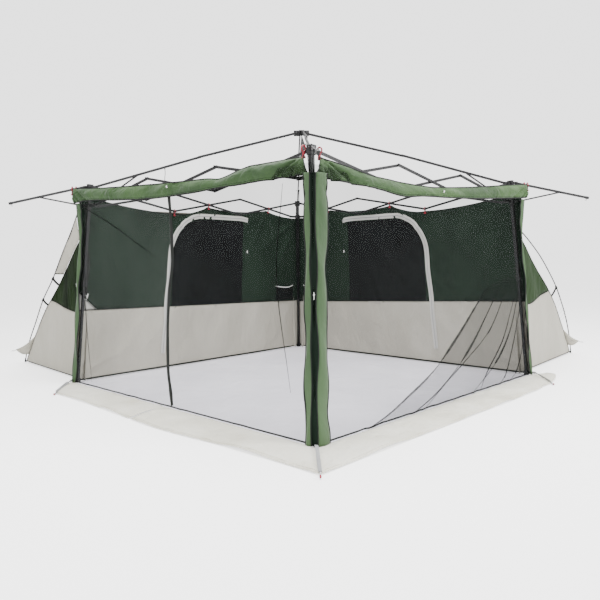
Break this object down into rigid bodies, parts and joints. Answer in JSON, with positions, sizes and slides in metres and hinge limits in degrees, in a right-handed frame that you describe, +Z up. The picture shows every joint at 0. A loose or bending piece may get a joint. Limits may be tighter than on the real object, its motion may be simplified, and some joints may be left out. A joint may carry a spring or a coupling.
{
  "type": "screen house tent",
  "caption": "Pop-up screen house: folding steel frame with scissor trusses, mesh walls on one corner and fabric walls with sleeping pods on the other.",
  "frame": {"origin": "on the ground at the middle of the square room, on the underside of the groundsheet", "axes": "+Z up, the room walls along X and Y, the mesh walls facing -X and -Y, the sleeping pods towards +X and +Y"},
  "size_m": [4.8744, 4.8744, 2.29],
  "materials": {
    "frame_steel": "black powder coat, satin",
    "fitting_plastic": "black moulded nylon",
    "floor_fabric": "pale grey coated groundsheet",
    "screen_mesh": "fine black insect mesh",
    "wall_fabric": "dark green coated polyester",
    "valance_fabric": "mid green coated polyester",
    "beige_fabric": "beige coated polyester",
    "skirt_fabric": "cream coated polyester",
    "dark_mesh": "dark door mesh",
    "tape": "light grey woven tape",
    "binding": "black bound seam and zip",
    "clip_red": "red moulded clip",
    "peg_steel": "bare steel wire"
  },
  "bodies": {
    "groundsheet": {"groundsheet": "floor_fabric"},
    "leg_upper_front": {"leg_upper_front": "frame_steel", "screen_walls": "screen_mesh"},
    "leg_upper_left": {"leg_upper_left": "frame_steel"},
    "leg_upper_right": {"leg_upper_right": "frame_steel"},
    "leg_upper_back": {"leg_upper_back": "frame_steel", "sleeping_cabin": "wall_fabric"},
    "truss_back_right_falling_1": {"truss_back_right_falling_1": "frame_steel"},
    "truss_back_right_falling_2": {"truss_back_right_falling_2": "frame_steel"},
    "truss_back_right_falling_3": {"truss_back_right_falling_3": "frame_steel"},
    "truss_back_right_rising_1": {"truss_back_right_rising_1": "frame_steel"},
    "truss_back_right_rising_2": {"truss_back_right_rising_2": "frame_steel"},
    "truss_back_right_rising_3": {"truss_back_right_rising_3": "frame_steel"},
    "truss_back_left_falling_1": {"truss_back_left_falling_1": "frame_steel"},
    "truss_back_left_falling_2": {"truss_back_left_falling_2": "frame_steel"},
    "truss_back_left_falling_3": {"truss_back_left_falling_3": "frame_steel"},
    "truss_back_left_rising_1": {"truss_back_left_rising_1": "frame_steel"},
    "truss_back_left_rising_2": {"truss_back_left_rising_2": "frame_steel"},
    "truss_back_left_rising_3": {"truss_back_left_rising_3": "frame_steel"},
    "truss_left_front_falling_1": {"truss_left_front_falling_1": "frame_steel"},
    "truss_left_front_falling_2": {"truss_left_front_falling_2": "frame_steel"},
    "truss_left_front_falling_3": {"truss_left_front_falling_3": "frame_steel"},
    "truss_left_front_rising_1": {"truss_left_front_rising_1": "frame_steel"},
    "truss_left_front_rising_2": {"truss_left_front_rising_2": "frame_steel"},
    "truss_left_front_rising_3": {"truss_left_front_rising_3": "frame_steel"},
    "truss_right_front_falling_1": {"truss_right_front_falling_1": "frame_steel"},
    "truss_right_front_falling_2": {"truss_right_front_falling_2": "frame_steel"},
    "truss_right_front_falling_3": {"truss_right_front_falling_3": "frame_steel"},
    "truss_right_front_rising_1": {"truss_right_front_rising_1": "frame_steel"},
    "truss_right_front_rising_2": {"truss_right_front_rising_2": "frame_steel"},
    "truss_right_front_rising_3": {"truss_right_front_rising_3": "frame_steel"},
    "leg_lower_back": {"leg_lower_back": "frame_steel"},
    "slider_back": {"slider_back": "fitting_plastic"},
    "roof_pole_outer_back": {"roof_pole_outer_back": "frame_steel"},
    "roof_pole_inner_back": {"roof_pole_inner_back": "frame_steel"},
    "roof_strut_back": {"roof_strut_back": "frame_steel"},
    "eave_pole_back": {"eave_pole_back": "frame_steel"},
    "eave_strut_back": {"eave_strut_back": "frame_steel"},
    "leg_lower_left": {"leg_lower_left": "frame_steel"},
    "slider_left": {"slider_left": "fitting_plastic"},
    "roof_pole_outer_left": {"roof_pole_outer_left": "frame_steel"},
    "roof_pole_inner_left": {"roof_pole_inner_left": "frame_steel"},
    "roof_strut_left": {"roof_strut_left": "frame_steel"},
    "eave_pole_left": {"eave_pole_left": "frame_steel"},
    "eave_strut_left": {"eave_strut_left": "frame_steel"},
    "leg_lower_right": {"leg_lower_right": "frame_steel"},
    "slider_right": {"slider_right": "fitting_plastic"},
    "roof_pole_outer_right": {"roof_pole_outer_right": "frame_steel"},
    "roof_pole_inner_right": {"roof_pole_inner_right": "frame_steel"},
    "roof_strut_right": {"roof_strut_right": "frame_steel"},
    "eave_pole_right": {"eave_pole_right": "frame_steel"},
    "eave_strut_right": {"eave_strut_right": "frame_steel"},
    "leg_lower_front": {"leg_lower_front": "frame_steel"},
    "slider_front": {"slider_front": "fitting_plastic"},
    "roof_pole_outer_front": {"roof_pole_outer_front": "frame_steel"},
    "roof_pole_inner_front": {"roof_pole_inner_front": "frame_steel"},
    "roof_strut_front": {"roof_strut_front": "frame_steel"},
    "eave_pole_front": {"eave_pole_front": "frame_steel"},
    "eave_strut_front": {"eave_strut_front": "frame_steel"},
    "peak_hub": {"peak_hub": "fitting_plastic"}
  },
  "joints": [
    {"name": "frame_gather", "type": "slide", "parent": "groundsheet", "child": "leg_upper_back", "axis": [-0.7071, -0.7071, 0], "range_m": [0, 1.47159]},
    {"name": "frame_fold", "type": "hinge", "parent": "leg_upper_back", "child": "truss_back_right_falling_1", "pos_m": [1.3675, 1.3175, 1.79], "axis": [0.9977, 0, 0.0683], "range_deg": [0, 67.05], "deforming": ["sleeping_cabin", "screen_walls"]},
    {"name": "fold_back_right_rising_1", "type": "hinge", "parent": "truss_back_right_falling_1", "child": "truss_back_right_rising_1", "pos_m": [1.3733, 0.87833, 1.7052], "axis": [0.9977, 0, 0.0683], "range_deg": [-134.36, 0]},
    {"name": "fold_back_right_falling_2", "type": "hinge", "parent": "truss_back_right_rising_1", "child": "truss_back_right_falling_2", "pos_m": [1.3675, 0.43917, 1.79], "axis": [0.9977, 0, 0.0683], "range_deg": [0, 134.36]},
    {"name": "fold_back_right_rising_2", "type": "hinge", "parent": "truss_back_right_falling_2", "child": "truss_back_right_rising_2", "pos_m": [1.3733, 0, 1.7052], "axis": [0.9977, 0, 0.0683], "range_deg": [-134.36, 0]},
    {"name": "fold_back_right_rising_3", "type": "hinge", "parent": "truss_back_right_falling_2", "child": "truss_back_right_rising_3", "pos_m": [1.37911, -0.43917, 1.6204], "axis": [0.9977, 0, 0.0683], "range_deg": [-134.36, 0]},
    {"name": "fold_back_right_falling_3", "type": "hinge", "parent": "truss_back_right_rising_3", "child": "truss_back_right_falling_3", "pos_m": [1.3733, -0.87833, 1.7052], "axis": [0.9977, 0, 0.0683], "range_deg": [0, 134.36]},
    {"name": "fold_leg_right", "type": "hinge", "parent": "truss_back_right_rising_3", "child": "leg_upper_right", "pos_m": [1.3675, -1.3175, 1.79], "axis": [0.9977, 0, 0.0683], "range_deg": [0, 67.18]},
    {"name": "fold_back_left_falling_1", "type": "hinge", "parent": "leg_upper_back", "child": "truss_back_left_falling_1", "pos_m": [1.3175, 1.3675, 1.79], "axis": [0, -0.9977, -0.0683], "range_deg": [0, 67.18]},
    {"name": "fold_back_left_rising_1", "type": "hinge", "parent": "truss_back_left_falling_1", "child": "truss_back_left_rising_1", "pos_m": [0.87833, 1.3733, 1.7052], "axis": [0, -0.9977, -0.0683], "range_deg": [-134.36, 0]},
    {"name": "fold_back_left_falling_2", "type": "hinge", "parent": "truss_back_left_rising_1", "child": "truss_back_left_falling_2", "pos_m": [0.43917, 1.3675, 1.79], "axis": [0, -0.9977, -0.0683], "range_deg": [0, 134.36]},
    {"name": "fold_back_left_rising_2", "type": "hinge", "parent": "truss_back_left_falling_2", "child": "truss_back_left_rising_2", "pos_m": [0, 1.3733, 1.7052], "axis": [0, -0.9977, -0.0683], "range_deg": [-134.36, 0]},
    {"name": "fold_back_left_rising_3", "type": "hinge", "parent": "truss_back_left_falling_2", "child": "truss_back_left_rising_3", "pos_m": [-0.43917, 1.37911, 1.6204], "axis": [0, -0.9977, -0.0683], "range_deg": [-134.36, 0]},
    {"name": "fold_back_left_falling_3", "type": "hinge", "parent": "truss_back_left_rising_3", "child": "truss_back_left_falling_3", "pos_m": [-0.87833, 1.3733, 1.7052], "axis": [0, -0.9977, -0.0683], "range_deg": [0, 134.36]},
    {"name": "fold_leg_left", "type": "hinge", "parent": "truss_back_left_rising_3", "child": "leg_upper_left", "pos_m": [-1.3175, 1.3675, 1.79], "axis": [0, -0.9977, -0.0683], "range_deg": [0, 67.18]},
    {"name": "fold_left_front_falling_1", "type": "hinge", "parent": "leg_upper_left", "child": "truss_left_front_falling_1", "pos_m": [-1.3675, 1.3175, 1.79], "axis": [0.9977, 0, -0.0683], "range_deg": [0, 67.18]},
    {"name": "fold_left_front_rising_1", "type": "hinge", "parent": "truss_left_front_falling_1", "child": "truss_left_front_rising_1", "pos_m": [-1.3733, 0.87833, 1.7052], "axis": [0.9977, 0, -0.0683], "range_deg": [-134.36, 0]},
    {"name": "fold_left_front_falling_2", "type": "hinge", "parent": "truss_left_front_rising_1", "child": "truss_left_front_falling_2", "pos_m": [-1.3675, 0.43917, 1.79], "axis": [0.9977, 0, -0.0683], "range_deg": [0, 134.36]},
    {"name": "fold_left_front_rising_2", "type": "hinge", "parent": "truss_left_front_falling_2", "child": "truss_left_front_rising_2", "pos_m": [-1.3733, 0, 1.7052], "axis": [0.9977, 0, -0.0683], "range_deg": [-134.36, 0]},
    {"name": "fold_left_front_rising_3", "type": "hinge", "parent": "truss_left_front_falling_2", "child": "truss_left_front_rising_3", "pos_m": [-1.37911, -0.43917, 1.6204], "axis": [0.9977, 0, -0.0683], "range_deg": [-134.36, 0]},
    {"name": "fold_left_front_falling_3", "type": "hinge", "parent": "truss_left_front_rising_3", "child": "truss_left_front_falling_3", "pos_m": [-1.3733, -0.87833, 1.7052], "axis": [0.9977, 0, -0.0683], "range_deg": [0, 134.36]},
    {"name": "fold_leg_front", "type": "hinge", "parent": "truss_left_front_rising_3", "child": "leg_upper_front", "pos_m": [-1.3675, -1.3175, 1.79], "axis": [0.9977, 0, -0.0683], "range_deg": [0, 67.18]},
    {"name": "fold_right_front_falling_1", "type": "hinge", "parent": "leg_upper_right", "child": "truss_right_front_falling_1", "pos_m": [1.3175, -1.3675, 1.79], "axis": [0, -0.9977, 0.0683], "range_deg": [0, 67.18]},
    {"name": "fold_right_front_rising_1", "type": "hinge", "parent": "truss_right_front_falling_1", "child": "truss_right_front_rising_1", "pos_m": [0.87833, -1.3733, 1.7052], "axis": [0, -0.9977, 0.0683], "range_deg": [-134.36, 0]},
    {"name": "fold_right_front_falling_2", "type": "hinge", "parent": "truss_right_front_rising_1", "child": "truss_right_front_falling_2", "pos_m": [0.43917, -1.3675, 1.79], "axis": [0, -0.9977, 0.0683], "range_deg": [0, 134.36]},
    {"name": "fold_right_front_rising_2", "type": "hinge", "parent": "truss_right_front_falling_2", "child": "truss_right_front_rising_2", "pos_m": [0, -1.3733, 1.7052], "axis": [0, -0.9977, 0.0683], "range_deg": [-134.36, 0]},
    {"name": "fold_right_front_rising_3", "type": "hinge", "parent": "truss_right_front_falling_2", "child": "truss_right_front_rising_3", "pos_m": [-0.43917, -1.37911, 1.6204], "axis": [0, -0.9977, 0.0683], "range_deg": [-134.36, 0]},
    {"name": "fold_right_front_falling_3", "type": "hinge", "parent": "truss_right_front_rising_3", "child": "truss_right_front_falling_3", "pos_m": [-0.87833, -1.3733, 1.7052], "axis": [0, -0.9977, 0.0683], "range_deg": [0, 134.36]},
    {"name": "leg_telescope_back", "type": "slide", "parent": "leg_upper_back", "child": "leg_lower_back", "axis": [-0.0681, -0.0681, 0.9953], "range_m": [0, 0.7]},
    {"name": "slider_travel_back", "type": "slide", "parent": "leg_upper_back", "child": "slider_back", "axis": [0.0681, 0.0681, -0.9953], "range_m": [0, 0.6621]},
    {"name": "roof_outer_back", "type": "hinge", "parent": "leg_upper_back", "child": "roof_pole_outer_back", "pos_m": [1.33214, 1.33214, 1.8], "axis": [-0.7071, 0.7071, 0], "range_deg": [-89.42, 0]},
    {"name": "eave_swing_back", "type": "hinge", "parent": "leg_upper_back", "child": "eave_pole_back", "pos_m": [1.40285, 1.40285, 1.8], "axis": [-0.7071, 0.7071, 0], "range_deg": [0, 68.34]},
    {"name": "roof_strut_back", "type": "hinge", "parent": "roof_pole_outer_back", "child": "roof_strut_back", "pos_m": [1.06043, 1.06043, 1.90473], "axis": [-0.7071, 0.7071, 0], "range_deg": [0, 122.27]},
    {"name": "eave_strut_back", "type": "hinge", "parent": "eave_pole_back", "child": "eave_strut_back", "pos_m": [1.69843, 1.69843, 1.71268], "axis": [-0.7071, 0.7071, 0], "range_deg": [-148.34, 0]},
    {"name": "leg_telescope_left", "type": "slide", "parent": "leg_upper_left", "child": "leg_lower_left", "axis": [0.0681, -0.0681, 0.9953], "range_m": [0, 0.7]},
    {"name": "slider_travel_left", "type": "slide", "parent": "leg_upper_left", "child": "slider_left", "axis": [-0.0681, 0.0681, -0.9953], "range_m": [0, 0.6621]},
    {"name": "roof_outer_left", "type": "hinge", "parent": "leg_upper_left", "child": "roof_pole_outer_left", "pos_m": [-1.33214, 1.33214, 1.8], "axis": [-0.7071, -0.7071, 0], "range_deg": [-89.42, 0]},
    {"name": "eave_swing_left", "type": "hinge", "parent": "leg_upper_left", "child": "eave_pole_left", "pos_m": [-1.40285, 1.40285, 1.8], "axis": [-0.7071, -0.7071, 0], "range_deg": [0, 68.34]},
    {"name": "roof_strut_left", "type": "hinge", "parent": "roof_pole_outer_left", "child": "roof_strut_left", "pos_m": [-1.06043, 1.06043, 1.90473], "axis": [-0.7071, -0.7071, 0], "range_deg": [0, 122.27]},
    {"name": "eave_strut_left", "type": "hinge", "parent": "eave_pole_left", "child": "eave_strut_left", "pos_m": [-1.69843, 1.69843, 1.71268], "axis": [-0.7071, -0.7071, 0], "range_deg": [-148.34, 0]},
    {"name": "leg_telescope_right", "type": "slide", "parent": "leg_upper_right", "child": "leg_lower_right", "axis": [-0.0681, 0.0681, 0.9953], "range_m": [0, 0.7]},
    {"name": "slider_travel_right", "type": "slide", "parent": "leg_upper_right", "child": "slider_right", "axis": [0.0681, -0.0681, -0.9953], "range_m": [0, 0.6621]},
    {"name": "roof_outer_right", "type": "hinge", "parent": "leg_upper_right", "child": "roof_pole_outer_right", "pos_m": [1.33214, -1.33214, 1.8], "axis": [0.7071, 0.7071, 0], "range_deg": [-89.42, 0]},
    {"name": "eave_swing_right", "type": "hinge", "parent": "leg_upper_right", "child": "eave_pole_right", "pos_m": [1.40285, -1.40285, 1.8], "axis": [0.7071, 0.7071, 0], "range_deg": [0, 68.34]},
    {"name": "roof_strut_right", "type": "hinge", "parent": "roof_pole_outer_right", "child": "roof_strut_right", "pos_m": [1.06043, -1.06043, 1.90473], "axis": [0.7071, 0.7071, 0], "range_deg": [0, 122.27]},
    {"name": "eave_strut_right", "type": "hinge", "parent": "eave_pole_right", "child": "eave_strut_right", "pos_m": [1.69843, -1.69843, 1.71268], "axis": [0.7071, 0.7071, 0], "range_deg": [-148.34, 0]},
    {"name": "leg_telescope_front", "type": "slide", "parent": "leg_upper_front", "child": "leg_lower_front", "axis": [0.0681, 0.0681, 0.9953], "range_m": [0, 0.7]},
    {"name": "slider_travel_front", "type": "slide", "parent": "leg_upper_front", "child": "slider_front", "axis": [-0.0681, -0.0681, -0.9953], "range_m": [0, 0.6621]},
    {"name": "roof_outer_front", "type": "hinge", "parent": "leg_upper_front", "child": "roof_pole_outer_front", "pos_m": [-1.33214, -1.33214, 1.8], "axis": [0.7071, -0.7071, 0], "range_deg": [-89.42, 0]},
    {"name": "eave_swing_front", "type": "hinge", "parent": "leg_upper_front", "child": "eave_pole_front", "pos_m": [-1.40285, -1.40285, 1.8], "axis": [0.7071, -0.7071, 0], "range_deg": [0, 68.34]},
    {"name": "roof_strut_front", "type": "hinge", "parent": "roof_pole_outer_front", "child": "roof_strut_front", "pos_m": [-1.06043, -1.06043, 1.90473], "axis": [0.7071, -0.7071, 0], "range_deg": [0, 122.27]},
    {"name": "eave_strut_front", "type": "hinge", "parent": "eave_pole_front", "child": "eave_strut_front", "pos_m": [-1.69843, -1.69843, 1.71268], "axis": [0.7071, -0.7071, 0], "range_deg": [-148.34, 0]},
    {"name": "roof_inner_back", "type": "hinge", "parent": "roof_pole_outer_back", "child": "roof_pole_inner_back", "pos_m": [0.65761, 0.65761, 2.06], "axis": [-0.7071, 0.7071, 0], "range_deg": [0, 160.17]},
    {"name": "roof_hub", "type": "hinge", "parent": "roof_pole_inner_back", "child": "peak_hub", "pos_m": [0.03182, 0.03182, 2.268], "axis": [-0.7071, 0.7071, 0], "range_deg": [-70.74, 0]},
    {"name": "roof_inner_left", "type": "hinge", "parent": "peak_hub", "child": "roof_pole_inner_left", "pos_m": [-0.03182, 0.03182, 2.268], "axis": [-0.7071, -0.7071, 0], "range_deg": [0, 70.74]},
    {"name": "roof_inner_right", "type": "hinge", "parent": "peak_hub", "child": "roof_pole_inner_right", "pos_m": [0.03182, -0.03182, 2.268], "axis": [0.7071, 0.7071, 0], "range_deg": [0, 70.74]},
    {"name": "roof_inner_front", "type": "hinge", "parent": "peak_hub", "child": "roof_pole_inner_front", "pos_m": [-0.03182, -0.03182, 2.268], "axis": [0.7071, -0.7071, 0], "range_deg": [0, 70.74]}
  ],
  "couplings": [
    {"joint": "frame_gather", "follows": "frame_fold", "m_per_rad": 1.2551},
    {"joint": "fold_back_right_rising_1", "follows": "frame_fold", "ratio": -2},
    {"joint": "fold_back_right_falling_2", "follows": "frame_fold", "ratio": 2},
    {"joint": "fold_back_right_rising_2", "follows": "frame_fold", "ratio": -2},
    {"joint": "fold_back_right_rising_3", "follows": "frame_fold", "ratio": -2},
    {"joint": "fold_back_right_falling_3", "follows": "frame_fold", "ratio": 2},
    {"joint": "fold_leg_right", "follows": "frame_fold", "ratio": 1},
    {"joint": "fold_back_left_falling_1", "follows": "frame_fold", "ratio": 1},
    {"joint": "fold_back_left_rising_1", "follows": "frame_fold", "ratio": -2},
    {"joint": "fold_back_left_falling_2", "follows": "frame_fold", "ratio": 2},
    {"joint": "fold_back_left_rising_2", "follows": "frame_fold", "ratio": -2},
    {"joint": "fold_back_left_rising_3", "follows": "frame_fold", "ratio": -2},
    {"joint": "fold_back_left_falling_3", "follows": "frame_fold", "ratio": 2},
    {"joint": "fold_leg_left", "follows": "frame_fold", "ratio": 1},
    {"joint": "fold_left_front_falling_1", "follows": "frame_fold", "ratio": 1},
    {"joint": "fold_left_front_rising_1", "follows": "frame_fold", "ratio": -2},
    {"joint": "fold_left_front_falling_2", "follows": "frame_fold", "ratio": 2},
    {"joint": "fold_left_front_rising_2", "follows": "frame_fold", "ratio": -2},
    {"joint": "fold_left_front_rising_3", "follows": "frame_fold", "ratio": -2},
    {"joint": "fold_left_front_falling_3", "follows": "frame_fold", "ratio": 2},
    {"joint": "fold_leg_front", "follows": "frame_fold", "ratio": 1},
    {"joint": "fold_right_front_falling_1", "follows": "frame_fold", "ratio": 1},
    {"joint": "fold_right_front_rising_1", "follows": "frame_fold", "ratio": -2},
    {"joint": "fold_right_front_falling_2", "follows": "frame_fold", "ratio": 2},
    {"joint": "fold_right_front_rising_2", "follows": "frame_fold", "ratio": -2},
    {"joint": "fold_right_front_rising_3", "follows": "frame_fold", "ratio": -2},
    {"joint": "fold_right_front_falling_3", "follows": "frame_fold", "ratio": 2},
    {"joint": "slider_travel_back", "follows": "frame_fold", "m_per_rad": 0.56468},
    {"joint": "roof_outer_back", "follows": "frame_fold", "ratio": -1.3311},
    {"joint": "eave_swing_back", "follows": "frame_fold", "ratio": 1.0172},
    {"joint": "roof_strut_back", "follows": "frame_fold", "ratio": 1.8201},
    {"joint": "eave_strut_back", "follows": "frame_fold", "ratio": -2.2081},
    {"joint": "slider_travel_left", "follows": "frame_fold", "m_per_rad": 0.56468},
    {"joint": "roof_outer_left", "follows": "frame_fold", "ratio": -1.3311},
    {"joint": "eave_swing_left", "follows": "frame_fold", "ratio": 1.0172},
    {"joint": "roof_strut_left", "follows": "frame_fold", "ratio": 1.8201},
    {"joint": "eave_strut_left", "follows": "frame_fold", "ratio": -2.2081},
    {"joint": "slider_travel_right", "follows": "frame_fold", "m_per_rad": 0.56468},
    {"joint": "roof_outer_right", "follows": "frame_fold", "ratio": -1.3311},
    {"joint": "eave_swing_right", "follows": "frame_fold", "ratio": 1.0172},
    {"joint": "roof_strut_right", "follows": "frame_fold", "ratio": 1.8201},
    {"joint": "eave_strut_right", "follows": "frame_fold", "ratio": -2.2081},
    {"joint": "slider_travel_front", "follows": "frame_fold", "m_per_rad": 0.56468},
    {"joint": "roof_outer_front", "follows": "frame_fold", "ratio": -1.3311},
    {"joint": "eave_swing_front", "follows": "frame_fold", "ratio": 1.0172},
    {"joint": "roof_strut_front", "follows": "frame_fold", "ratio": 1.8201},
    {"joint": "eave_strut_front", "follows": "frame_fold", "ratio": -2.2081},
    {"joint": "roof_inner_back", "follows": "frame_fold", "ratio": 2.3841},
    {"joint": "roof_hub", "follows": "frame_fold", "ratio": -1.053},
    {"joint": "roof_inner_left", "follows": "frame_fold", "ratio": 1.053},
    {"joint": "roof_inner_right", "follows": "frame_fold", "ratio": 1.053},
    {"joint": "roof_inner_front", "follows": "frame_fold", "ratio": 1.053}
  ]
}
